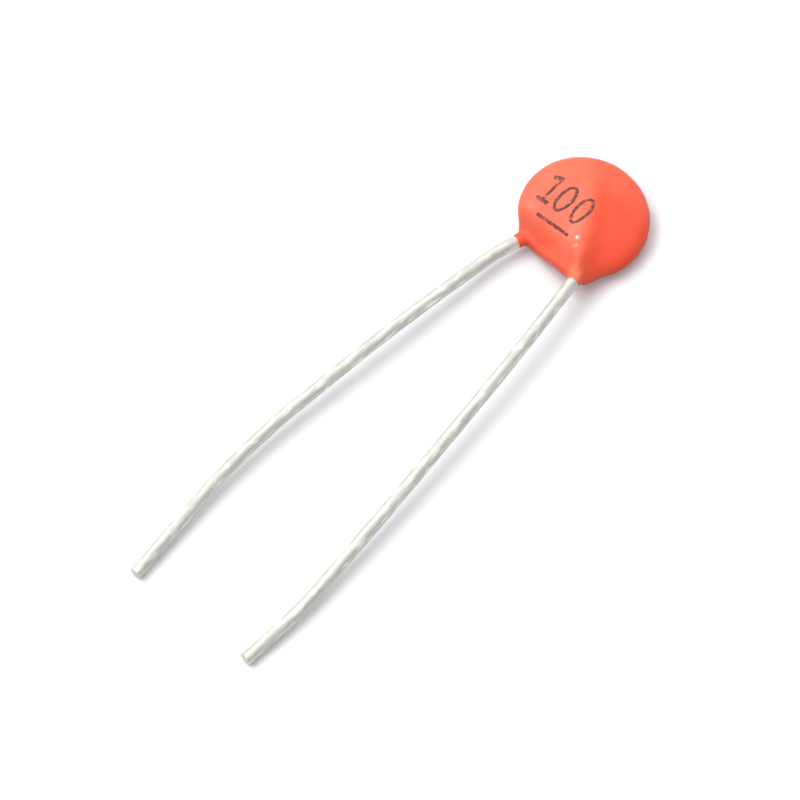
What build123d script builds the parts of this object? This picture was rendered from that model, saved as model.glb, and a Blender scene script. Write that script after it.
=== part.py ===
from build123d import *
import os
from math import cos, exp, pi, radians, sin, sqrt, tan

# Ceramic disc capacitor with two wire leads, lying on a flat surface, in millimetres.
# +X runs from the back lead to the front lead, +Y from the lead tips to the disc, +Z up.
# The origin is the middle of its footprint on that surface.

# Ceramic disc and the silver layer fired on each face
disc_diameter = 3.6
disc_thickness = 0.3
electrode_diameter = 3.0
electrode_thickness = 0.03

# Tinned copper leads: each slants across its face of the disc and bends as it leaves the chin
wire_diameter = 0.5
lead_spacing = 2.74
lead_offset = 0.2
inner_end_height = 0.35
inner_end_overlap = 0.1
exit_setback = 0.13
exit_bend_radius = 0.5
lead_length = 19.52
back_lead_extra = 0.5
front_lead_splay = 1.15
back_lead_splay = 1.42
tip_chamfer = 0.05

# Where each lead turns between the chin and its tip: shares of its length, of its splay and of
# the height of the disc's centre above the surface
front_turn_shares = ((0.215, 0.45, 0.93), (0.585, 0.95, 0.6), (0.86, 1.18, 0.18))
back_turn_shares = ((0.065, 0.28, 0.42), (0.31, 0.72, 0.71), (0.686, 1.31, 0.44))
turn_arc_share = 0.4

# Solder that holds each lead to its electrode: levels up to the wire's middle, and widths there
solder_film = 0.03
solder_length = 1.5
solder_width = 1.0
solder_overlap = 0.3
solder_profile_shares = ((0, 1), (1, 0.45))

# Dipped coat: a lens round the disc, a ridge over each lead and a thin chin between the leads
coat_edge = 0.745
coat_face = 0.56
coat_lead = 0.16
lens_power = 2.3
ridge_half_width = 0.55
ridge_fade = 0.8
chin_drop = 0.56
chin_thickness = 0.5
chin_lead_cover = 0.06
chin_rounding = 0.15
front_chin_corner = 0.65
back_chin_corner = 0.2
chin_power = 3.2
chin_slant_share = 0.17
chin_flare_share = 0.5
chin_step_shares = (0.58, 0.98)
chin_flank_shares = (0.56, 0.8)

# How the disc lies: its right side is low, because the back lead holds up its left side
roll_degrees = 9.0

# Smoothness of the coat
outline_points = 40
upper_sections = 7
lower_sections = 7
rounding_sections = 4
last_rounding_degrees = 56

disc_radius = disc_diameter / 2
wire_radius = wire_diameter / 2
electrode_top = disc_thickness / 2 + electrode_thickness
lead_level = electrode_top + solder_film + wire_radius
coat_radius = disc_radius + coat_edge
coat_half_thickness = disc_thickness / 2 + coat_face
chin_depth = disc_radius + chin_drop


def mix(first, second, share):
    return first + (second - first) * share


def smooth_step(start, end, value):
    share = min(max((value - start) / (end - start), 0), 1)
    return share * share * (3 - 2 * share)


def signed_power(value, power):
    return abs(value) ** power * (1 if value > 0 else -1)


def lens_curve(value, power):
    """A lens's half section: 1 in its middle, 0 at its rim."""
    return max(1 - abs(value) ** power, 0) ** (1 / power)


class Side:
    """One face of the disc with its lead, in the disc's own frame."""

    def __init__(self, sign, length, splay, turn_shares, chin_corner):
        self.sign = sign
        self.length = length
        self.splay = splay
        self.turn_shares = turn_shares
        self.chin_corner = chin_corner
        reach = sign * lead_spacing / 2
        exit_height = exit_setback - chin_depth - chin_slant_share * reach
        self.inner_end = Vector(lead_offset - sign * inner_end_overlap, inner_end_height, sign * lead_level)
        self.exit = Vector(lead_offset + reach, exit_height, sign * lead_level)

    def lead_x(self, y):
        """Where the lead's run across the disc is at height y."""
        share = (self.inner_end.Y - y) / (self.inner_end.Y - self.exit.Y)
        return mix(self.inner_end.X, self.exit.X, min(max(share, 0), 1))


front = Side(1, lead_length, front_lead_splay, front_turn_shares, front_chin_corner)
back = Side(-1, lead_length + back_lead_extra, back_lead_splay, back_turn_shares, back_chin_corner)


class CoatSection:
    """The coat cut across the leads at height y, in the disc's own frame."""

    def __init__(self, y):
        self.y = y
        self.low = smooth_step(-chin_step_shares[0] * chin_depth, -chin_step_shares[1] * chin_depth, y)
        self.fade = smooth_step(inner_end_height + ridge_fade, inner_end_height - ridge_fade, y)
        self.slant = chin_slant_share * self.low
        self.middle = lead_offset * self.low
        self.power = mix(lens_power, chin_power, self.low)
        disc_half_width = sqrt(max(coat_radius**2 - y**2, 0))
        chin_half_width = lead_spacing / 2 + wire_radius + chin_lead_cover
        flank_half_width = chin_half_width + chin_flare_share * (y + chin_depth)
        flank = smooth_step(-chin_flank_shares[0] * chin_depth, -chin_flank_shares[1] * chin_depth, y)
        self.half_width = mix(disc_half_width, flank_half_width, flank)
        face_half_depth = coat_half_thickness * lens_curve(y / coat_radius, lens_power)
        self.half_depth = mix(face_half_depth, chin_thickness / 2, self.low) - self.inset(chin_rounding)

    def inset(self, radius):
        """How far an edge that ends the chin with this rounding has drawn in here."""
        share = max(radius - chin_depth - self.y, 0) / radius
        return radius * (1 - sqrt(max(1 - share**2, 0)))

    def lead_x(self, side):
        """Where this slanted section meets a lead."""
        level_x = side.lead_x(self.y)
        return side.lead_x(self.y - self.slant * (level_x - self.middle))

    def mid_level(self, x):
        """The coat's mid-surface, which climbs to the front lead and falls to the back lead."""
        side = front if x > self.middle else back
        reach = (x - self.middle) / max(abs(self.lead_x(side) - self.middle), wire_radius)
        return self.low * lead_level * reach * exp((1 - reach**2) / 2)

    def ridge(self, x, sign):
        """What the leads add to the lens on the face that the sign gives."""
        if self.fade == 0:
            return 0
        total = 0
        half_width = mix(ridge_half_width, wire_radius + chin_lead_cover, self.low)
        for side in (front, back):
            lead_x = self.lead_x(side)
            curve = lens_curve((lead_x - self.middle) / self.half_width, self.power)
            top = side.sign * sign * lead_level + wire_radius + mix(coat_lead, chin_lead_cover, self.low)
            height = max((top - sign * self.mid_level(lead_x)) / curve - self.half_depth, 0)
            total += height * self.fade * exp(-(((x - lead_x) / half_width) ** 2))
        return total

    def wire(self):
        points = []
        for number in range(outline_points):
            angle = 2 * pi * number / outline_points
            across = signed_power(cos(angle), 2 / self.power)
            bulge = signed_power(sin(angle), 2 / self.power)
            side = front if across > 0 else back
            x = self.middle + (self.half_width - self.inset(side.chin_corner)) * across
            depth = self.half_depth + self.ridge(x, 1 if bulge > 0 else -1)
            y = self.y - self.slant * (x - self.middle)
            points.append(Vector(x, y, self.mid_level(x) + depth * bulge))
        knots = [number / outline_points for number in range(outline_points + 1)]
        return Wire(Edge.make_spline(points, periodic=True, parameters=knots))


def coat_body():
    """The whole coat, with nothing cut from it yet, in the disc's own frame."""
    heights = []
    for number in range(1, upper_sections + 1):
        heights.append(coat_radius * cos(pi / 2 * number / upper_sections))
    chin_start = chin_rounding - chin_depth
    for number in range(1, lower_sections + 1):
        heights.append(chin_start * sin(pi / 2 * number / lower_sections))
    for number in range(1, rounding_sections + 1):
        angle = radians(last_rounding_degrees) * number / rounding_sections
        heights.append(chin_start - chin_rounding * sin(angle))
    return Solid.make_loft([Vertex(0, coat_radius, 0)] + [CoatSection(y).wire() for y in heights])


def lead_path(side, place):
    """The middle line of a lead: across the disc, a bend at the chin and a slack run to the tip."""
    start = Vertex(*side.inner_end).moved(place).center()
    corner = Vertex(*side.exit).moved(place).center()
    points = [start, corner]
    for along, across, height in side.turn_shares + ((1, 1, 0),):
        x = corner.X + side.sign * side.splay * across
        y = corner.Y - side.length * along
        points.append(Vector(x, y, wire_radius + height * place.position.Z))
    radii = []
    for before, point, after in zip(points, points[1:], points[2:]):
        turn = radians((point - before).get_angle(after - point))
        shorter = min((point - before).length, (after - point).length)
        radii.append(turn_arc_share * shorter / tan(turn / 2))
    radii[0] = exit_bend_radius
    return FilletPolyline(*points, radius=radii)


def lead_wire(path):
    section = Plane(origin=path @ 0, z_dir=path % 0) * Circle(wire_radius)
    wire = sweep(section, path=path)
    tip = wire.faces().sort_by(Axis.Y)[0]
    return chamfer(tip.edges(), tip_chamfer)


def electrode(side):
    middle = side.sign * (disc_thickness + electrode_thickness) / 2
    return Pos(0, 0, middle) * Cylinder(electrode_diameter / 2, electrode_thickness)


def solder_mound(side):
    """A bead along the end of a lead, widest where it wets the electrode."""
    run = side.exit - side.inner_end
    middle = side.inner_end + run.normalized() * (solder_length / 2 - solder_overlap)
    foot = Plane(origin=(middle.X, middle.Y, side.sign * electrode_top), x_dir=run, z_dir=(0, 0, side.sign))
    sections = []
    for level_share, width_share in solder_profile_shares:
        narrowing = solder_width * (1 - width_share)
        level = foot.offset(level_share * (solder_film + wire_radius))
        sections.append(level * SlotOverall(solder_length - narrowing, solder_width - narrowing))
    return loft(sections)


whole_coat = coat_body()
roll = Location((0, 0, 0), (0, roll_degrees, 0))
rest_height = -whole_coat.moved(roll).bounding_box().min.Z
place = Location((0, 0, rest_height), (0, roll_degrees, 0))

nodes = {"ceramic_disc": place * Cylinder(disc_radius, disc_thickness)}
for name, side in (("front", front), ("back", back)):
    lead = lead_wire(lead_path(side, place))
    nodes[name + "_electrode"] = place * electrode(side)
    nodes[name + "_solder"] = place * solder_mound(side) - lead
    nodes[name + "_lead"] = lead
nodes["coating"] = place * Part(whole_coat.wrapped) - list(nodes.values())

boxes = [node.bounding_box() for node in nodes.values()]
middle_x = (min(box.min.X for box in boxes) + max(box.max.X for box in boxes)) / 2
middle_y = (min(box.min.Y for box in boxes) + max(box.max.Y for box in boxes)) / 2
footprint_middle = Location((-middle_x, -middle_y, 0))

os.makedirs("parts", exist_ok=True)
for name, node in nodes.items():
    export_step(footprint_middle * node, f"parts/{name}.step")
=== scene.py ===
"""Looks of a ceramic disc capacitor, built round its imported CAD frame."""

import math

import bmesh
import bpy
from bpy.props import FloatProperty, FloatVectorProperty, IntProperty, PointerProperty
from mathutils import Color, Matrix, Vector, noise
from mathutils.bvhtree import BVHTree


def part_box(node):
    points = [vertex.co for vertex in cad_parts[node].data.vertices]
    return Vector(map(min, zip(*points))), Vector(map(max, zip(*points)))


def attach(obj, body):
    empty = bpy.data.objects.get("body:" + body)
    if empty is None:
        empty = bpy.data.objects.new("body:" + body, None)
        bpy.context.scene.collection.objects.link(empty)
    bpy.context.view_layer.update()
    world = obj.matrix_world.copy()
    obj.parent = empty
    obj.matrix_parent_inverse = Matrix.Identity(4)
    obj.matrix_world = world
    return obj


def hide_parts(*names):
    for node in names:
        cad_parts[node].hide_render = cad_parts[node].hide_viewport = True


bl_info = {
    "name": "Ceramic disc capacitor",
    "version": (1, 0, 0),
    "blender": (4, 5, 0),
    "location": "View3D > Sidebar > Capacitor",
    "description": "Builds the coat, leads, print and studio of a ceramic disc capacitor",
    "category": "Add Mesh",
}

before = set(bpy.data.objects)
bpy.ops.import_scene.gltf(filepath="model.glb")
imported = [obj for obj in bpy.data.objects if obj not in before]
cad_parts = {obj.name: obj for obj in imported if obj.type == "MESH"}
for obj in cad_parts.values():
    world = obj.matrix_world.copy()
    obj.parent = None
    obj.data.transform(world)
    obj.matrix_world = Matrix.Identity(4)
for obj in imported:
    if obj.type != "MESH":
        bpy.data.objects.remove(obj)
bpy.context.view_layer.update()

MM = 0.001
FULL_CHANNEL = 255

# How far the disc leans to its right
DISC_ROLL = math.radians(9)

# Mesh operators: what counts as one point in millimetres, as a crease and as one round of smoothing,
# and their plain settings
MERGE = 0.001
CREASE = math.radians(50)
SMOOTHING_SHARE = 0.5
ROUND_PROFILE = 0.5
NO_MATERIAL = -1
UNIT_GRID = 0.5
UNIT_CIRCLE = 1

# Middle line of each lead in millimetres, its corners and how far each corner's bend reaches, and the
# wire's radius and segments
FRONT_ROUTE = (
    (0.187, 10.0952, 1.2917),
    (1.6389, 7.2823, 1.0618),
    (2.1564, 3.0855, 1.0433),
    (2.7314, -4.1369, 0.7618),
    (2.9959, -9.5049, 0.4035),
    (2.7889, -12.2357, 0.25),
)
FRONT_REACHES = (0.091, 1.6915, 2.1546, 1.098)
BACK_ROUTE = (
    (0.2407, 10.0952, 0.3518),
    (-1.2112, 7.7481, 0.5817),
    (-1.6088, 6.4468, 0.6083),
    (-2.2336, 1.5419, 0.8557),
    (-3.0714, -5.9856, 0.6253),
    (-2.6312, -12.2699, 0.25),
)
BACK_REACHES = (0.0666, 0.5444, 1.9803, 2.5251)
WIRE_RADIUS = 0.25
WIRE_SIDES = 40
BEND_SEGMENTS = 8
TIP_SEGMENTS = 5

# Waves of the dents along a lead: how many in a millimetre, and their share of the depth
DENT_WAVES = ((1.3, 1), (3.1, 0.5))

# Small lumps on the coat, in millimetres on the disc's face: place, radius, height and gloss
COAT_LUMPS = (
    ((0.56, -1.17), 0.26, 0.024, 0.75),
    ((0.72, -1.5), 0.22, 0.012, 0.3),
)

# Crest that runs on from the front lead over the disc's face: its ends there, half width and height,
# and the shares of its length over which it rises and falls
CREST_START = (1.3, -2.0)
CREST_END = (-0.9, 1.5)
CREST_HALF_WIDTH = 0.5
CREST_HEIGHT = 0.04
CREST_RISE = (0, 0.4)
CREST_FALL = (1.2, 0.7)

# Painted shade in the coat's colour, darker right of the crest and at the chin's edge: where it grows,
# in millimetres right of the crest and on the disc's face, and its shares
PAINTED_SHADE_SIDE = (-0.3, 0.7)
PAINTED_SHADE_TOP = (0.5, 2.2)
PAINTED_SHADE_TOP_LOSS = 0.6
PAINTED_SHADE_CHIN = (-1.2, -2.1)
PAINTED_SHADE_CHIN_STEP = 0.35
PAINTED_SHADE_CHIN_SIDE = (0.2, -0.8)
PAINTED_SHADE_LEAST = 0.08
PAINTED_SHADE_RIGHT = 0.76
PAINTED_SHADE_LOW = 0.8

# Where the pale colour of the thin coat over the front lead stops: in millimetres right of the crest,
# which keeps it to the lit flank as painted light, and the share of the thin reach where the coat
# starts to grow thick
THIN_LIT_SIDE = (0.15, 0.35)
THIN_START_SHARE = 1 / 3

# Shares of a lump's height between which its gloss grows, and the gloss of the coat with none and all
WET_SHARES = (0.45, 0.8)
COAT_GLOSS = (0.05, 1)

# Finishes: how much the coat's patches count in its colour, what patches add to a roughness, the
# tin's roughness between its flecks and on them, and how dark the inner pieces' patches are
COAT_PATCH_SHARE = 0.12
COAT_ROUGHNESS_CHANGES = (-0.04, 0.06)
TIN_ROUGHNESS = (0.55, 0.4)
INSIDE_ROUGHNESS_CHANGE = 0.1
INSIDE_DARK_SHARE = 0.8

# Print, in millimetres on the disc's face: places and sizes of the digits' parts and of the bar, and
# shares of the stroke's width
DIGIT_LEVEL = -0.19
ONE_PLACE = -1.5
ONE_FOOT = 0.52
ONE_FLAG = 0.34
ONE_FLAG_OFFSET = (-0.15, -0.12)
ONE_FLAG_TURN = math.radians(25)
ONE_SERIF_SHARE = 1.3
ONE_STEM_SHARE = 0.9
ZERO_PLACES = (-0.85, -0.05)
ZERO_HALF_WIDTH = 0.31
ZERO_SIDES = 64
ZERO_CUTS = 2
BAR_PLACE = (-0.53, -1.32)
BAR_LENGTH = 1.47
BAR_SHARE = 0.95
BAR_TURN = math.radians(2.5)
INK_CELL = 0.05

# Waves of the print's edges in a millimetre, their seed, which makes every run the same, and the
# height from which the print is laid on the coat
BLEED_WAVES = 7
BLEED_SEED = 1
PRINT_LIFT = 5


def linear(*display):
    """A display colour, 0 to 255 a channel, as the linear values that shaders use."""
    shares = [channel / FULL_CHANNEL for channel in display]
    return tuple(Color(shares).from_srgb_to_scene_linear())


def smooth_step(start, end, value):
    """0 at the start, 1 at the end and a soft S between them."""
    share = min(max((value - start) / (end - start), 0), 1)
    return share * share * (3 - 2 * share)


class CoatSettings(bpy.types.PropertyGroup):
    """Sizes and colours of the dipped coat."""

    face_size: FloatProperty(
        name="Face size",
        description="Size of the even faces that the skin is made of",
        default=0.03 * MM,
        unit="LENGTH",
    )
    smoothing: IntProperty(
        name="Smoothing",
        description="How often the skin is smoothed",
        default=14,
        min=0,
    )
    wave_depth: FloatProperty(
        name="Wave depth",
        description="Depth of the slow waves that the dipping left",
        default=0.015 * MM,
        unit="LENGTH",
    )
    wave_size: FloatProperty(
        name="Wave size",
        description="Distance between the waves",
        default=0.9 * MM,
        unit="LENGTH",
    )
    sink: FloatProperty(
        name="Sink",
        description="How far the skin lies inside the CAD solid between its waves",
        default=0.003 * MM,
        unit="LENGTH",
    )
    sleeve_ends: FloatVectorProperty(
        name="Sleeve ends",
        description="How far the coat creeps along the front and the back lead, past the lead's bend",
        size=2,
        default=(0.12 * MM, 0.42 * MM),
        unit="LENGTH",
    )
    sleeve_length: FloatProperty(
        name="Sleeve length",
        description="Length of the tapered sleeve round each lead",
        default=0.45 * MM,
        unit="LENGTH",
    )
    sleeve_cover: FloatVectorProperty(
        name="Sleeve cover",
        description="Thickness of the sleeve at its two ends",
        size=2,
        default=(0.07 * MM, 0.02 * MM),
        unit="LENGTH",
    )
    thin_reach: FloatProperty(
        name="Thin reach",
        description="Distance from the front lead's exit at which the coat is thick again",
        default=0.9 * MM,
        unit="LENGTH",
    )
    thin_cover: FloatProperty(
        name="Thin cover",
        description="Cover over the front lead at which the coat has its full colour",
        default=0.16 * MM,
        unit="LENGTH",
    )
    # The coat's lit colour, paler left of the crest as painted light
    colour: FloatVectorProperty(
        name="Colour",
        description="Colour of the coat left of the crest",
        subtype="COLOR",
        default=linear(254, 118, 87),
        min=0,
        max=1,
    )
    # Painted shade: the colour right of the crest and at the chin, and also the tone of the richer
    # patches
    shade_and_patch_colour: FloatVectorProperty(
        name="Deep colour",
        description="Colour of the coat right of the crest, at the chin and in richer patches",
        subtype="COLOR",
        default=linear(252, 76, 42),
        min=0,
        max=1,
    )
    # Pale colour of the thin coat over the front lead, kept to the lit flank as painted light
    thin_lit_colour: FloatVectorProperty(
        name="Thin colour",
        description="Colour of the coat where the front lead is close under it",
        subtype="COLOR",
        default=linear(242, 126, 86),
        min=0,
        max=1,
    )
    roughness: FloatProperty(
        name="Roughness",
        description="Roughness of the coat",
        default=0.42,
        min=0,
        max=1,
    )


class LeadSettings(bpy.types.PropertyGroup):
    """Sizes and colours of the tinned leads."""

    diameter: FloatProperty(
        name="Diameter",
        description="Diameter of the wire",
        default=2 * WIRE_RADIUS * MM,
        unit="LENGTH",
    )
    step: FloatProperty(
        name="Step",
        description="Distance between the rings of the wire's mesh",
        default=0.1 * MM,
        unit="LENGTH",
    )
    tip_rounding: FloatProperty(
        name="Tip rounding",
        description="Rounding of the cut end",
        default=0.05 * MM,
        unit="LENGTH",
    )
    dent_depth: FloatProperty(
        name="Dent depth",
        description="Depth of the shallow dents that handling left",
        default=0.008 * MM,
        unit="LENGTH",
    )
    colour: FloatVectorProperty(
        name="Colour",
        description="Colour of the tin",
        subtype="COLOR",
        default=linear(214, 215, 205),
        min=0,
        max=1,
    )
    glint_colour: FloatVectorProperty(
        name="Glint colour",
        description="Colour of the bright flecks in the tin",
        subtype="COLOR",
        default=linear(244, 244, 233),
        min=0,
        max=1,
    )
    dull_colour: FloatVectorProperty(
        name="Dull colour",
        description="Colour of the patches where the tin is dull",
        subtype="COLOR",
        default=linear(199, 200, 192),
        min=0,
        max=1,
    )


class MarkingSettings(bpy.types.PropertyGroup):
    """Sizes and colours of the print."""

    height: FloatProperty(
        name="Height",
        description="Height of the digits",
        default=1.32 * MM,
        unit="LENGTH",
    )
    stroke: FloatProperty(
        name="Stroke",
        description="Width of the strokes",
        default=0.125 * MM,
        unit="LENGTH",
    )
    film: FloatProperty(
        name="Film",
        description="Thickness of the ink",
        default=0.006 * MM,
        unit="LENGTH",
    )
    bleed: FloatProperty(
        name="Bleed",
        description="How far the edges of the strokes wander",
        default=0.022 * MM,
        unit="LENGTH",
    )
    colour: FloatVectorProperty(
        name="Colour",
        description="Colour of the ink",
        subtype="COLOR",
        default=linear(92, 54, 50),
        min=0,
        max=1,
    )


class InsideSettings(bpy.types.PropertyGroup):
    """Colours of the pieces inside the coat."""

    ceramic: FloatVectorProperty(
        name="Ceramic",
        description="Colour of the fired ceramic",
        subtype="COLOR",
        default=linear(176, 140, 104),
        min=0,
        max=1,
    )
    silver: FloatVectorProperty(
        name="Silver",
        description="Colour of the fired silver",
        subtype="COLOR",
        default=linear(214, 212, 206),
        min=0,
        max=1,
    )
    solder: FloatVectorProperty(
        name="Solder",
        description="Colour of the solder",
        subtype="COLOR",
        default=linear(186, 187, 190),
        min=0,
        max=1,
    )


class StageSettings(bpy.types.PropertyGroup):
    """Floor, lights and camera."""

    floor_size: FloatProperty(
        name="Floor size",
        description="Length of the floor's sides",
        default=0.8,
        unit="LENGTH",
    )
    floor_colour: FloatVectorProperty(
        name="Floor colour",
        description="Colour of the floor",
        subtype="COLOR",
        default=(0.91, 0.91, 0.92),
        min=0,
        max=1,
    )
    bounce_colour: FloatVectorProperty(
        name="Bounce colour",
        description="Colour of the floor for the light that it throws back",
        subtype="COLOR",
        default=(0.3, 0.3, 0.3),
        min=0,
        max=1,
    )
    floor_glow: FloatProperty(
        name="Floor glow",
        description="How much brighter the floor looks than its light makes it",
        default=0.06,
        min=0,
    )
    card_distance: FloatProperty(
        name="Card distance",
        description="Distance of the grey card on the right",
        default=0.12,
        unit="LENGTH",
    )
    card_height: FloatProperty(
        name="Card height",
        description="Height of the grey card on the right",
        default=0.1,
        unit="LENGTH",
    )
    card_colour: FloatVectorProperty(
        name="Card colour",
        description="Colour of the grey card on the right",
        subtype="COLOR",
        default=(0.62, 0.62, 0.62),
        min=0,
        max=1,
    )
    horizon: FloatProperty(
        name="Horizon",
        description="Light from the horizon",
        default=0.18,
        min=0,
    )
    zenith: FloatProperty(
        name="Zenith",
        description="Light from straight above",
        default=0.75,
        min=0,
    )
    sky_colour: FloatVectorProperty(
        name="Sky colour",
        description="Colour of the light from all round",
        subtype="COLOR",
        default=(0.97, 0.95, 1),
        min=0,
        max=1,
    )
    key_direction: FloatVectorProperty(
        name="Key direction",
        description="Where the key light stands, seen from the object",
        subtype="DIRECTION",
        default=(-0.44, -0.27, 1),
    )
    key_size: FloatProperty(
        name="Key size",
        description="Diameter of the key light",
        default=0.26,
        unit="LENGTH",
    )
    key_power: FloatProperty(
        name="Key power",
        description="Power of the key light in watts",
        default=0.55,
    )
    fill_direction: FloatVectorProperty(
        name="Fill direction",
        description="Where the broad light stands, seen from the object",
        subtype="DIRECTION",
        default=(-0.5, 0.05, 0.85),
    )
    fill_size: FloatProperty(
        name="Fill size",
        description="Diameter of the broad light",
        default=0.75,
        unit="LENGTH",
    )
    fill_power: FloatProperty(
        name="Fill power",
        description="Power of the broad light in watts",
        default=1.1,
    )
    lamp_direction: FloatVectorProperty(
        name="Lamp direction",
        description="Where the small lamp stands, seen from the object",
        subtype="DIRECTION",
        default=(-0.57, 0.08, 0.82),
    )
    lamp_size: FloatProperty(
        name="Lamp size",
        description="Diameter of the small lamp",
        default=0.12,
        unit="LENGTH",
    )
    lamp_power: FloatProperty(
        name="Lamp power",
        description="Power of the small lamp in watts",
        default=0.18,
    )
    light_distance: FloatProperty(
        name="Light distance",
        description="Distance of the lights",
        default=0.4,
        unit="LENGTH",
    )
    azimuth: FloatProperty(
        name="Azimuth",
        description="Direction of the camera round the object",
        default=math.radians(40.59),
        unit="ROTATION",
    )
    elevation: FloatProperty(
        name="Elevation",
        description="Height of the camera above the horizon",
        default=math.radians(57.57),
        unit="ROTATION",
    )
    camera_distance: FloatProperty(
        name="Camera distance",
        description="Distance of the camera from the disc",
        default=0.18,
        unit="LENGTH",
    )
    lens: FloatProperty(
        name="Lens",
        description="Focal length in millimetres",
        default=213.84,
    )
    disc_place: FloatVectorProperty(
        name="Disc place",
        description="Disc's centre in the picture, right and up from the middle, in picture widths",
        size=2,
        default=(0.22977, 0.22782),
    )


class CapacitorSettings(bpy.types.PropertyGroup):
    """All settings of the capacitor."""

    coat: PointerProperty(type=CoatSettings)
    leads: PointerProperty(type=LeadSettings)
    marking: PointerProperty(type=MarkingSettings)
    inside: PointerProperty(type=InsideSettings)
    stage: PointerProperty(type=StageSettings)


def disc_frame():
    """The disc's own frame in millimetres: +X across, +Y to its top, +Z off its upper face."""
    low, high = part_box("ceramic_disc")
    centre = (low + high) / (2 * MM)
    return Matrix.Translation(centre) @ Matrix.Rotation(DISC_ROLL, 4, "Y")


def merged_copy(node):
    """A copy of a CAD node's mesh in millimetres, with the borders between its faces joined."""
    bm = bmesh.new()
    bm.from_mesh(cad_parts[node].data)
    bmesh.ops.scale(bm, vec=Vector((1, 1, 1)) / MM, verts=bm.verts)
    bmesh.ops.remove_doubles(bm, verts=bm.verts, dist=MERGE)
    return bm


def keep_outer_skin(bm):
    """Deletes what lies behind a crease, seen from the highest point, and closes the holes."""
    start = max(bm.verts, key=lambda vert: vert.co.z).link_faces[0]
    reached = {start}
    waiting = [start]
    while waiting:
        for edge in waiting.pop().edges:
            if edge.is_manifold and edge.calc_face_angle() > CREASE:
                continue
            found = [face for face in edge.link_faces if face not in reached]
            reached.update(found)
            waiting.extend(found)
    hidden = [face for face in bm.faces if face not in reached]
    bmesh.ops.delete(bm, geom=hidden, context="FACES")
    bmesh.ops.holes_fill(bm, edges=[edge for edge in bm.edges if edge.is_boundary])
    bmesh.ops.recalc_face_normals(bm, faces=bm.faces)


def remesh(bm, face_size):
    """Makes the mesh again from even faces."""
    mesh = bpy.data.meshes.new("remesh")
    bm.to_mesh(mesh)
    obj = bpy.data.objects.new("remesh", mesh)
    bpy.context.scene.collection.objects.link(obj)
    modifier = obj.modifiers.new("Even faces", "REMESH")
    modifier.mode = "VOXEL"
    modifier.voxel_size = face_size
    even = bpy.data.meshes.new_from_object(obj.evaluated_get(bpy.context.evaluated_depsgraph_get()))
    bm.clear()
    bm.from_mesh(even)
    bpy.data.objects.remove(obj)
    bpy.data.meshes.remove(mesh)
    bpy.data.meshes.remove(even)


def add_piece(bm, name, material, slot, *nodes):
    """Adds a finished mesh, modelled in millimetres, as a piece of the object."""
    bmesh.ops.scale(bm, vec=Vector((1, 1, 1)) * MM, verts=bm.verts)
    bmesh.ops.recalc_face_normals(bm, faces=bm.faces)
    for face in bm.faces:
        face.smooth = True
    mesh = bpy.data.meshes.new(name)
    bm.to_mesh(mesh)
    bm.free()
    mesh.materials.append(material)
    obj = bpy.data.objects.new(name, mesh)
    bpy.context.scene.collection.objects.link(obj)
    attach(obj, "root")
    if nodes:
        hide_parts(*nodes)
    return obj


def add_node(tree, kind, values=(), **settings):
    """A node with its settings, and values for its inputs by name or number."""
    node = tree.nodes.new(kind)
    for name, value in settings.items():
        setattr(node, name, value)
    for name, value in dict(values).items():
        node.inputs[name].default_value = value
    return node


def mottle_group():
    """Soft patches: 0 to 1, where the noise is between two levels."""
    name = "Mottle"
    if name in bpy.data.node_groups:
        return bpy.data.node_groups[name]
    tree = bpy.data.node_groups.new(name, "ShaderNodeTree")
    tree.interface.new_socket("Vector", in_out="INPUT", socket_type="NodeSocketVector")
    for socket, value in (("Scale", 1), ("Detail", 2), ("Low", 0.4), ("High", 0.6)):
        made = tree.interface.new_socket(socket, in_out="INPUT", socket_type="NodeSocketFloat")
        made.default_value = value
    tree.interface.new_socket("Mask", in_out="OUTPUT", socket_type="NodeSocketFloat")
    start = add_node(tree, "NodeGroupInput")
    end = add_node(tree, "NodeGroupOutput")
    texture = add_node(tree, "ShaderNodeTexNoise")
    levels = add_node(tree, "ShaderNodeMapRange", interpolation_type="SMOOTHSTEP")
    tree.links.new(start.outputs["Vector"], texture.inputs["Vector"])
    tree.links.new(start.outputs["Scale"], texture.inputs["Scale"])
    tree.links.new(start.outputs["Detail"], texture.inputs["Detail"])
    tree.links.new(texture.outputs["Fac"], levels.inputs["Value"])
    tree.links.new(start.outputs["Low"], levels.inputs["From Min"])
    tree.links.new(start.outputs["High"], levels.inputs["From Max"])
    tree.links.new(levels.outputs["Result"], end.inputs["Mask"])
    return tree


def rays_that_show(tree):
    """1 for rays from the camera, from a reflection or through a clear piece, else 0."""
    path = add_node(tree, "ShaderNodeLightPath")
    total = path.outputs["Is Camera Ray"]
    for name in ("Is Glossy Ray", "Is Transmission Ray"):
        both = add_node(tree, "ShaderNodeMath", operation="MAXIMUM")
        tree.links.new(total, both.inputs[0])
        tree.links.new(path.outputs[name], both.inputs[1])
        total = both.outputs["Value"]
    return total


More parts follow.
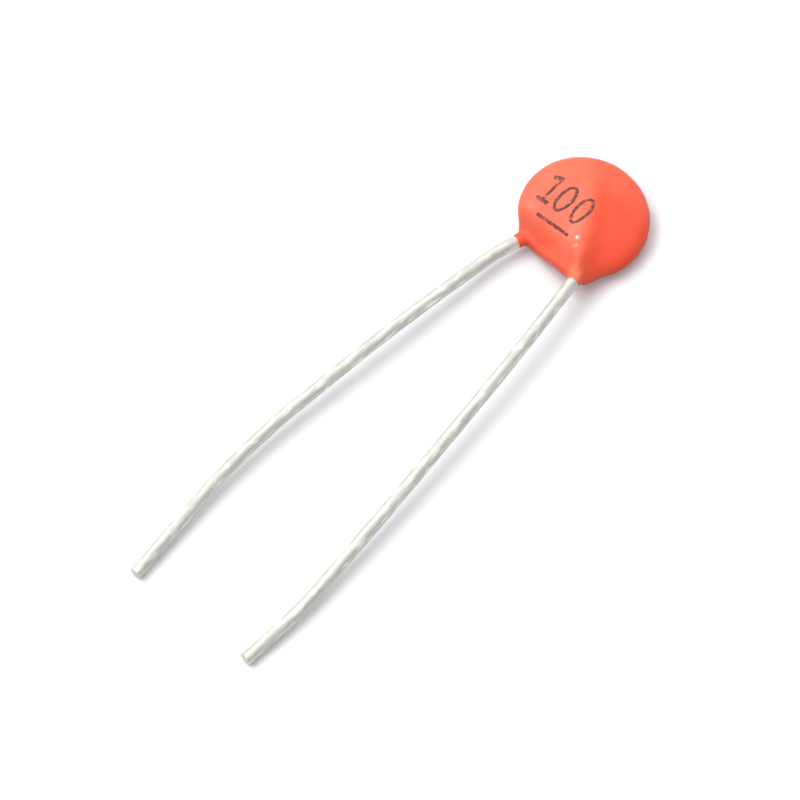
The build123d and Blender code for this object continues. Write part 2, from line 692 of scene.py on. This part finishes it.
class Surface:
    """A material in the making: its tree, its shader and the place that its patterns read."""

    def __init__(self, name, attribute=None):
        self.material = bpy.data.materials.new(name)
        self.material.use_nodes = True
        self.tree = self.material.node_tree
        self.shader = self.tree.nodes["Principled BSDF"]
        if attribute:
            self.place = self.attribute(attribute, "Vector")
        else:
            self.place = add_node(self.tree, "ShaderNodeTexCoord").outputs["Object"]

    def attribute(self, name, output="Fac"):
        """A value that the mesh holds at each of its points."""
        return add_node(self.tree, "ShaderNodeAttribute", attribute_name=name).outputs[output]

    def set(self, **values):
        """Sets the shader's inputs by their names."""
        for name, value in values.items():
            socket = name.replace("_", " ").title().replace("Ior", "IOR")
            self.shader.inputs[socket].default_value = value

    def mottle(self, size, low, high, detail=2, stretch=1):
        """Patches of about that size in metres, stretched along Z."""
        place = self.place
        if stretch != 1:
            scale = (1, 1, 1 / stretch)
            squeeze = add_node(self.tree, "ShaderNodeVectorMath", {1: scale}, operation="MULTIPLY")
            self.tree.links.new(place, squeeze.inputs[0])
            place = squeeze.outputs["Vector"]
        values = {"Scale": 1 / size, "Detail": detail, "Low": low, "High": high}
        group = add_node(self.tree, "ShaderNodeGroup", values, node_tree=mottle_group())
        self.tree.links.new(place, group.inputs["Vector"])
        return group.outputs["Mask"]

    def mix_colour(self, mask, first, second):
        """A colour between two, each a value or an output."""
        mix = add_node(self.tree, "ShaderNodeMix", data_type="RGBA")
        self.tree.links.new(mask, mix.inputs["Factor"])
        for name, value in (("A", first), ("B", second)):
            socket = next(s for s in mix.inputs if s.name == name and s.type == "RGBA")
            if isinstance(value, bpy.types.NodeSocket):
                self.tree.links.new(value, socket)
            else:
                socket.default_value = (*value, 1)
        return next(s for s in mix.outputs if s.type == "RGBA")

    def levels(self, mask, low, high):
        """A mask's 0 to 1 as low to high."""
        node = add_node(self.tree, "ShaderNodeMapRange", {"To Min": low, "To Max": high})
        self.tree.links.new(mask, node.inputs["Value"])
        return node.outputs["Result"]

    def join(self, output, name):
        """Feeds the shader's input of that name."""
        self.tree.links.new(output, self.shader.inputs[name])

    def relief(self, mask, depth):
        """Makes a mask stand out of the surface by that depth in metres."""
        bump = add_node(self.tree, "ShaderNodeBump", {"Distance": depth})
        self.tree.links.new(mask, bump.inputs["Height"])
        old = self.shader.inputs["Normal"].links
        if old:
            self.tree.links.new(old[0].from_socket, bump.inputs["Normal"])
        self.join(bump.outputs["Normal"], "Normal")


def coat_material(settings):
    """The dipped coat: painted shade in its colour, a pale thin coat over the front lead kept to the
    lit flank as painted light, faint patches, a fine orange peel and wet lumps.
    """
    surface = Surface("coat")
    patches = surface.mottle(size=0.7 * MM, low=0.3, high=0.7)
    # Painted shade: from the lit colour to the shade colour right of the crest and at the chin, with a
    # little of the faint patches mixed in
    rich = add_node(surface.tree, "ShaderNodeMix", {"Factor": COAT_PATCH_SHARE})
    surface.tree.links.new(surface.attribute("rich"), rich.inputs["A"])
    surface.tree.links.new(patches, rich.inputs["B"])
    colour = surface.mix_colour(rich.outputs["Result"], settings.colour, settings.shade_and_patch_colour)
    # Pale thin coat over the front lead, kept to the lit flank as painted light
    colour = surface.mix_colour(surface.attribute("cover"), settings.thin_lit_colour, colour)
    surface.join(colour, "Base Color")
    rough = [settings.roughness + change for change in COAT_ROUGHNESS_CHANGES]
    surface.join(surface.levels(patches, *rough), "Roughness")
    surface.relief(surface.mottle(size=0.22 * MM, low=0.2, high=0.8), depth=0.006 * MM)
    surface.relief(surface.mottle(size=0.05 * MM, low=0.2, high=0.8), depth=0.001 * MM)
    surface.join(surface.levels(surface.attribute("wet"), *COAT_GLOSS), "Coat Weight")
    surface.set(specular_ior_level=0.3, coat_roughness=0.12, coat_ior=2.4)
    return surface.material


def lead_material(settings):
    """Drawn and tinned wire: patches, bright flecks and fine lines along it."""
    surface = Surface("wire", "straight")
    patches = surface.mottle(size=0.14 * MM, low=0.35, high=0.7, stretch=7)
    glints = surface.mottle(size=0.17 * MM, low=0.47, high=0.82, detail=1, stretch=3.5)
    tin = surface.mix_colour(patches, settings.dull_colour, settings.colour)
    surface.join(surface.mix_colour(glints, tin, settings.glint_colour), "Base Color")
    surface.join(surface.levels(glints, *TIN_ROUGHNESS), "Roughness")
    surface.relief(surface.mottle(size=0.06 * MM, low=0.2, high=0.8, stretch=20), depth=0.002 * MM)
    surface.relief(surface.mottle(size=0.2 * MM, low=0.3, high=0.7, stretch=6), depth=0.004 * MM)
    surface.set(metallic=0.75)
    return surface.material


def ink_material(settings, coat):
    """Worn ink, with the coat's colour showing through its gaps."""
    surface = Surface("ink")
    gaps = surface.mottle(size=0.13 * MM, low=0.2, high=0.52)
    surface.join(surface.mix_colour(gaps, coat.colour, settings.colour), "Base Color")
    surface.set(roughness=0.55)
    return surface.material


def plain_material(name, colour, roughness, metallic, grain):
    """A material for a piece inside the coat, lightly patchy and grained."""
    surface = Surface(name)
    patches = surface.mottle(size=grain, low=0.35, high=0.65)
    dark = [channel * INSIDE_DARK_SHARE for channel in colour]
    surface.join(surface.mix_colour(patches, dark, colour), "Base Color")
    surface.join(surface.levels(patches, roughness, roughness + INSIDE_ROUGHNESS_CHANGE), "Roughness")
    surface.relief(patches, depth=0.004 * MM)
    surface.set(metallic=metallic)
    return surface.material


class CAPACITOR_OT_coat(bpy.types.Operator):
    """Build the dipped coat as an even skin over its CAD solid"""

    bl_idname = "capacitor.coat"
    bl_label = "Coat"

    def execute(self, context):
        settings = context.scene.capacitor.coat
        skin = merged_copy("coating")
        keep_outer_skin(skin)
        self.add_sleeves(skin, settings)
        remesh(skin, settings.face_size / MM)
        for _ in range(settings.smoothing):
            bmesh.ops.smooth_vert(
                skin,
                verts=skin.verts,
                factor=SMOOTHING_SHARE,
                use_axis_x=True,
                use_axis_y=True,
                use_axis_z=True,
            )
        self.shape(skin, settings)
        add_piece(skin, "coat_skin", coat_material(settings), "coat", "coating")
        return {"FINISHED"}

    def add_sleeves(self, skin, settings):
        """Adds the tapered sleeve that creeps along each lead."""
        length = settings.sleeve_length / MM
        wide, narrow = [WIRE_RADIUS + cover / MM for cover in settings.sleeve_cover]
        for route, end in zip((FRONT_ROUTE, BACK_ROUTE), settings.sleeve_ends):
            along = (Vector(route[2]) - Vector(route[1])).normalized()
            middle = Vector(route[1]) + along * (end / MM - length / 2)
            turn = Vector((0, 0, 1)).rotation_difference(along).to_matrix().to_4x4()
            bmesh.ops.create_cone(
                skin,
                cap_ends=True,
                segments=WIRE_SIDES,
                radius1=wide,
                radius2=narrow,
                depth=length,
                matrix=Matrix.Translation(middle) @ turn,
            )

    def along_crest(self, place):
        """Where a place is along the crest, as a share of it, and how far to the right of it."""
        start = Vector(CREST_START)
        run = Vector(CREST_END) - start
        offset = place.to_2d() - start
        return offset.dot(run) / run.length_squared, run.cross(offset) / -run.length

    def crest(self, place):
        """Share of the crest's height at a place on the disc's face."""
        share, aside = self.along_crest(place)
        ends = smooth_step(*CREST_RISE, share) * smooth_step(*CREST_FALL, share)
        return ends * math.exp(-((aside / CREST_HALF_WIDTH) ** 2))

    def painted_shade_share(self, place):
        """How much painted shade the coat's colour has: more right of the crest, and at the chin's
        edge.
        """
        right = smooth_step(*PAINTED_SHADE_SIDE, self.along_crest(place)[1])
        right *= 1 - PAINTED_SHADE_TOP_LOSS * smooth_step(*PAINTED_SHADE_TOP, place.y)
        start, end = PAINTED_SHADE_CHIN
        start -= PAINTED_SHADE_CHIN_STEP * smooth_step(*PAINTED_SHADE_CHIN_SIDE, place.x)
        low = smooth_step(start, end, place.y)
        return PAINTED_SHADE_LEAST + PAINTED_SHADE_RIGHT * right + PAINTED_SHADE_LOW * low * (1 - right)

    def shape(self, skin, settings):
        """Adds the crest, waves and lumps, and notes the coat's painted shade, gloss and cover, with
        the pale thin colour kept off the shaded flank as painted light.
        """
        to_disc = disc_frame().inverted()
        lead = BVHTree.FromBMesh(merged_copy("front_lead"))
        reach = settings.thin_reach / MM
        cover = skin.verts.layers.float.new("cover")
        wet = skin.verts.layers.float.new("wet")
        rich = skin.verts.layers.float.new("rich")
        skin.normal_update()
        moves = []
        for vert in skin.verts:
            wave = noise.noise(vert.co * MM / settings.wave_size)
            height = ((wave - 1) / 2 * settings.wave_depth - settings.sink) / MM
            place = to_disc @ vert.co
            if place.z > 0:
                height += CREST_HEIGHT * self.crest(place)
                for (x, y), radius, lump, gloss in COAT_LUMPS:
                    near = smooth_step(radius, 0, math.dist((x, y), place[:2]))
                    height += lump * near
                    vert[wet] = max(vert[wet], gloss * smooth_step(*WET_SHARES, near))
            # Painted shade: the coat's colour is darker right of the crest and at the chin's edge
            vert[rich] = self.painted_shade_share(place)
            moves.append(vert.normal * height)
            _, _, _, distance = lead.find_nearest(vert.co)
            from_exit = (vert.co - Vector(FRONT_ROUTE[1])).length
            # Cover over the front lead: the pale thin colour shows close to the lead and near its exit,
            # and only left of the crest, as painted light on the lit flank
            vert[cover] = max(
                smooth_step(0, settings.thin_cover / MM, distance),
                smooth_step(THIN_START_SHARE * reach, reach, from_exit),
                smooth_step(*THIN_LIT_SIDE, self.along_crest(place)[1]),
            )
        for vert, move in zip(skin.verts, moves):
            vert.co += move


class CAPACITOR_OT_leads(bpy.types.Operator):
    """Build both leads as wire drawn along their middle lines"""

    bl_idname = "capacitor.leads"
    bl_label = "Leads"

    def execute(self, context):
        settings = context.scene.capacitor.leads
        material = lead_material(settings)
        for name, route, reaches in (
            ("front", FRONT_ROUTE, FRONT_REACHES),
            ("back", BACK_ROUTE, BACK_REACHES),
        ):
            points = self.middle_line(route, reaches, settings.step / MM)
            wire = self.wire(points, settings)
            add_piece(wire, name + "_wire", material, "wire", name + "_lead")
        return {"FINISHED"}

    def middle_line(self, route, reaches, step):
        """Points along a route whose corners are rounded."""
        bm = bmesh.new()
        corners = [bm.verts.new(point) for point in route]
        for pair in zip(corners, corners[1:]):
            bm.edges.new(pair)
        for corner, reach in zip(corners[1:-1], reaches):
            bmesh.ops.bevel(
                bm,
                geom=[corner],
                offset=reach,
                offset_type="OFFSET",
                segments=BEND_SEGMENTS,
                profile=ROUND_PROFILE,
                affect="VERTICES",
                material=NO_MATERIAL,
            )
        for edge in list(bm.edges):
            bmesh.ops.subdivide_edges(bm, edges=[edge], cuts=int(edge.calc_length() / step))
        here = max((vert for vert in bm.verts if len(vert.link_edges) == 1), key=lambda vert: vert.co.y)
        points = [here.co.copy()]
        edge = here.link_edges[0]
        while edge:
            here = edge.other_vert(here)
            points.append(here.co.copy())
            edge = next((other for other in here.link_edges if other != edge), None)
        bm.free()
        return points

    def wire(self, points, settings):
        """A round wire along the points, with a cut end."""
        bm = bmesh.new()
        straight = bm.verts.layers.float_vector.new("straight")
        runs = [second - first for first, second in zip(points, points[1:])]
        tangents = [runs[0]] + [first + second for first, second in zip(runs, runs[1:])] + [runs[-1]]
        turn = Vector((0, 0, 1)).rotation_difference(tangents[0])
        place = Matrix.Translation(points[0]) @ turn.to_matrix().to_4x4()
        made = bmesh.ops.create_circle(
            bm,
            cap_ends=True,
            radius=settings.diameter / (2 * MM),
            segments=WIRE_SIDES,
        )
        for vert in made["verts"]:
            vert[straight] = vert.co * MM
        bmesh.ops.transform(bm, matrix=place, verts=made["verts"])
        edges = list(bm.edges)
        for number in range(1, len(points)):
            turn = tangents[number - 1].rotation_difference(tangents[number]).to_matrix().to_4x4()
            step = Matrix.Translation(points[number]) @ turn @ Matrix.Translation(-points[number - 1])
            grown = bmesh.ops.extrude_edge_only(bm, edges=edges)["geom"]
            verts = [item for item in grown if isinstance(item, bmesh.types.BMVert)]
            edges = [item for item in grown if isinstance(item, bmesh.types.BMEdge)]
            edges = [edge for edge in edges if all(vert in verts for vert in edge.verts)]
            bmesh.ops.transform(bm, matrix=step, verts=verts)
            for vert in verts:
                vert[straight] += Vector((0, 0, runs[number - 1].length * MM))
        bmesh.ops.holes_fill(bm, edges=edges)
        bmesh.ops.recalc_face_normals(bm, faces=bm.faces)
        bmesh.ops.bevel(
            bm,
            geom=edges,
            offset=settings.tip_rounding / MM,
            offset_type="OFFSET",
            segments=TIP_SEGMENTS,
            profile=ROUND_PROFILE,
            affect="EDGES",
            material=NO_MATERIAL,
        )
        bm.normal_update()
        for vert in bm.verts:
            dent = sum(share * noise.noise(vert.co * waves) for waves, share in DENT_WAVES)
            vert.co -= vert.normal * max(dent, 0) * settings.dent_depth / MM
        return bm


class CAPACITOR_OT_marking(bpy.types.Operator):
    """Print a plain number and a bar on the coat"""

    bl_idname = "capacitor.marking"
    bl_label = "Marking"

    def execute(self, context):
        settings = context.scene.capacitor.marking
        stroke = settings.stroke / MM
        height = settings.height / MM
        ink = bmesh.new()
        self.one(ink, height, stroke)
        for place in ZERO_PLACES:
            self.zero(ink, place, height, stroke)
        self.bar(ink, BAR_PLACE, (BAR_LENGTH, stroke * BAR_SHARE), BAR_TURN)
        self.lay(ink, settings)
        material = ink_material(settings, context.scene.capacitor.coat)
        add_piece(ink, "marking", material, "coat")
        return {"FINISHED"}

    def bar(self, ink, centre, size, turn=0):
        """A straight stroke."""
        cells = [math.ceil(length / INK_CELL) for length in size]
        place = Matrix.Translation((*centre, 0)) @ Matrix.Rotation(turn, 4, "Z")
        bmesh.ops.create_grid(
            ink,
            x_segments=cells[0],
            y_segments=cells[1],
            size=UNIT_GRID,
            matrix=place @ Matrix.Diagonal((*size, 1, 1)),
        )

    def one(self, ink, height, stroke):
        """A one with a foot and a flag."""
        serif = stroke * ONE_SERIF_SHARE
        foot = DIGIT_LEVEL - height / 2 + stroke / 2
        flag = (ONE_PLACE + ONE_FLAG_OFFSET[0], DIGIT_LEVEL + height / 2 + ONE_FLAG_OFFSET[1])
        stem = (ONE_PLACE, DIGIT_LEVEL + stroke / 2)
        self.bar(ink, (ONE_PLACE, foot), (ONE_FOOT, serif))
        self.bar(ink, stem, (stroke * ONE_STEM_SHARE, height - stroke))
        self.bar(ink, flag, (ONE_FLAG, serif), ONE_FLAG_TURN)

    def zero(self, ink, x, height, stroke):
        """A narrow ring."""
        rings = []
        for inset in (0, stroke):
            size = Matrix.Diagonal((ZERO_HALF_WIDTH - inset, height / 2 - inset, 1, 1))
            place = Matrix.Translation((x, DIGIT_LEVEL, 0)) @ size
            made = bmesh.ops.create_circle(ink, radius=UNIT_CIRCLE, segments=ZERO_SIDES, matrix=place)
            rings.extend({edge for vert in made["verts"] for edge in vert.link_edges})
        made = bmesh.ops.bridge_loops(ink, edges=rings)
        across = [edge for edge in made["edges"] if edge not in rings]
        bmesh.ops.subdivide_edges(ink, edges=across, cuts=ZERO_CUTS)

    def lay(self, ink, settings):
        """Lets the edges bleed and lays the flat print on the coat."""
        coat = bpy.data.objects["coat_skin"]
        skin = BVHTree.FromObject(coat, bpy.context.evaluated_depsgraph_get())
        place = disc_frame()
        down = place.to_3x3() @ Vector((0, 0, -1))
        noise.seed_set(BLEED_SEED)
        for vert in ink.verts:
            wander = noise.noise_vector(vert.co * BLEED_WAVES) * settings.bleed / MM
            start = place @ (vert.co + Vector((wander.x, wander.y, PRINT_LIFT)))
            hit, normal, _, _ = skin.ray_cast(start * MM, down)
            vert.co = (hit + normal * settings.film) / MM
        bmesh.ops.recalc_face_normals(ink, faces=ink.faces)
        bmesh.ops.solidify(ink, geom=ink.faces[:], thickness=2 * settings.film / MM)


class CAPACITOR_OT_inside(bpy.types.Operator):
    """Finish the disc, electrodes and solder inside the coat"""

    bl_idname = "capacitor.inside"
    bl_label = "Inside"

    def execute(self, context):
        settings = context.scene.capacitor.inside
        ceramic = plain_material("ceramic", settings.ceramic, roughness=0.7, metallic=0, grain=0.2 * MM)
        silver = plain_material("silver", settings.silver, roughness=0.4, metallic=1, grain=0.1 * MM)
        solder = plain_material("solder", settings.solder, roughness=0.3, metallic=1, grain=0.3 * MM)
        for node, material in (
            ("ceramic_disc", ceramic),
            ("front_electrode", silver),
            ("back_electrode", silver),
            ("front_solder", solder),
            ("back_solder", solder),
        ):
            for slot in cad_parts[node].material_slots:
                slot.material = material
        return {"FINISHED"}


class CAPACITOR_OT_stage(bpy.types.Operator):
    """Set the floor, the lights and the camera"""

    bl_idname = "capacitor.stage"
    bl_label = "Stage"

    def execute(self, context):
        settings = context.scene.capacitor.stage
        self.floor(settings)
        self.card(settings)
        self.world(context.scene, settings)
        key = self.light("key", settings)
        key.visible_glossy = False
        self.light("fill", settings)
        self.light("lamp", settings)
        self.camera(context.scene, settings)
        context.scene.view_settings.view_transform = "Standard"
        return {"FINISHED"}

    def add_board(self, name, size, place, surface):
        """A flat board of the stage."""
        bm = bmesh.new()
        stretch = Matrix.Diagonal((*size, 1, 1))
        bmesh.ops.create_grid(bm, x_segments=1, y_segments=1, size=UNIT_GRID, matrix=place @ stretch)
        mesh = bpy.data.meshes.new(name)
        bm.to_mesh(mesh)
        bm.free()
        mesh.materials.append(surface.material)
        obj = bpy.data.objects.new(name, mesh)
        bpy.context.scene.collection.objects.link(obj)
        return obj

    def floor(self, settings):
        """A pale floor that looks white where no shadow falls on it."""
        surface = Surface("floor")
        surface.set(roughness=1, specular_ior_level=0, emission_color=(1, 1, 1, 1))
        bounce = add_node(surface.tree, "ShaderNodeLightPath").outputs["Is Diffuse Ray"]
        colour = surface.mix_colour(bounce, settings.floor_colour, settings.bounce_colour)
        surface.join(colour, "Base Color")
        glow = surface.levels(rays_that_show(surface.tree), 0, settings.floor_glow)
        surface.join(glow, "Emission Strength")
        self.add_board("floor", (settings.floor_size, settings.floor_size), Matrix(), surface)

    def card(self, settings):
        """A grey card on the right, which the leads mirror and the camera doesn't see."""
        surface = Surface("card")
        surface.set(base_color=(*settings.card_colour, 1), roughness=1)
        place = Matrix.Translation((settings.card_distance, 0, settings.card_height / 2))
        upright = place @ Matrix.Rotation(math.pi / 2, 4, "Y")
        card = self.add_board("card", (settings.card_height, settings.floor_size / 2), upright, surface)
        card.visible_camera = False

    def world(self, scene, settings):
        """White to the camera and in reflections, and a light that grows upwards elsewhere."""
        scene.world = bpy.data.worlds.new("studio")
        scene.world.use_nodes = True
        tree = scene.world.node_tree
        even = tree.nodes["Background"]
        place = add_node(tree, "ShaderNodeTexCoord").outputs["Generated"]
        split = add_node(tree, "ShaderNodeSeparateXYZ")
        strengths = {"To Min": settings.horizon, "To Max": settings.zenith}
        level = add_node(tree, "ShaderNodeMapRange", strengths)
        tree.links.new(place, split.inputs["Vector"])
        tree.links.new(split.outputs["Z"], level.inputs["Value"])
        tree.links.new(level.outputs["Result"], even.inputs["Strength"])
        even.inputs["Color"].default_value = (*settings.sky_colour, 1)
        white = add_node(tree, "ShaderNodeBackground", {"Color": (1, 1, 1, 1)})
        mix = add_node(tree, "ShaderNodeMixShader")
        tree.links.new(rays_that_show(tree), mix.inputs["Fac"])
        tree.links.new(even.outputs["Background"], mix.inputs[1])
        tree.links.new(white.outputs["Background"], mix.inputs[2])
        tree.links.new(mix.outputs["Shader"], tree.nodes["World Output"].inputs["Surface"])

    def light(self, name, settings):
        """A round light, whose settings start with its name, turned to the object."""
        lamp = bpy.data.lights.new(name, "AREA")
        lamp.shape = "DISK"
        lamp.size = getattr(settings, name + "_size")
        lamp.energy = getattr(settings, name + "_power")
        obj = bpy.data.objects.new(name, lamp)
        bpy.context.scene.collection.objects.link(obj)
        away = Vector(getattr(settings, name + "_direction")).normalized()
        obj.location = away * settings.light_distance
        obj.rotation_euler = away.to_track_quat("Z", "Y").to_euler()
        return obj

    def camera(self, scene, settings):
        """Looks down at the part, with the disc right of the picture's middle and above it."""
        data = bpy.data.cameras.new("camera")
        data.lens = settings.lens
        data.clip_start = MM
        camera = bpy.data.objects.new("camera", data)
        scene.collection.objects.link(camera)
        scene.camera = camera
        tilt = Matrix.Rotation(math.pi / 2 - settings.elevation, 3, "X")
        turn = Matrix.Rotation(settings.azimuth, 3, "Z") @ tilt
        back = turn @ Vector((0, 0, 1))
        look = Vector((*settings.disc_place, -settings.lens / data.sensor_width))
        aside = look.rotation_difference(Vector((0, 0, -1)))
        camera.location = disc_frame().translation * MM + back * settings.camera_distance
        camera.rotation_euler = (turn @ aside.to_matrix()).to_euler()


class CAPACITOR_PT_panel(bpy.types.Panel):
    """The capacitor's pieces and settings"""

    bl_idname = "CAPACITOR_PT_panel"
    bl_label = "Ceramic disc capacitor"
    bl_space_type = "VIEW_3D"
    bl_region_type = "UI"
    bl_category = "Capacitor"

    def draw(self, context):
        settings = context.scene.capacitor
        for operator, group in (
            (CAPACITOR_OT_coat, settings.coat),
            (CAPACITOR_OT_leads, settings.leads),
            (CAPACITOR_OT_marking, settings.marking),
            (CAPACITOR_OT_inside, settings.inside),
            (CAPACITOR_OT_stage, settings.stage),
        ):
            box = self.layout.box()
            box.operator(operator.bl_idname)
            for name in group.__annotations__:
                box.prop(group, name)


CLASSES = (
    CoatSettings,
    LeadSettings,
    MarkingSettings,
    InsideSettings,
    StageSettings,
    CapacitorSettings,
    CAPACITOR_OT_coat,
    CAPACITOR_OT_leads,
    CAPACITOR_OT_marking,
    CAPACITOR_OT_inside,
    CAPACITOR_OT_stage,
    CAPACITOR_PT_panel,
)


def register():
    for item in CLASSES:
        bpy.utils.register_class(item)
    bpy.types.Scene.capacitor = PointerProperty(type=CapacitorSettings)


def unregister():
    del bpy.types.Scene.capacitor
    for item in reversed(CLASSES):
        bpy.utils.unregister_class(item)


def main():
    register()
    bpy.ops.capacitor.coat()
    bpy.ops.capacitor.leads()
    bpy.ops.capacitor.marking()
    bpy.ops.capacitor.inside()
    bpy.ops.capacitor.stage()


if __name__ == "__main__":
    main()
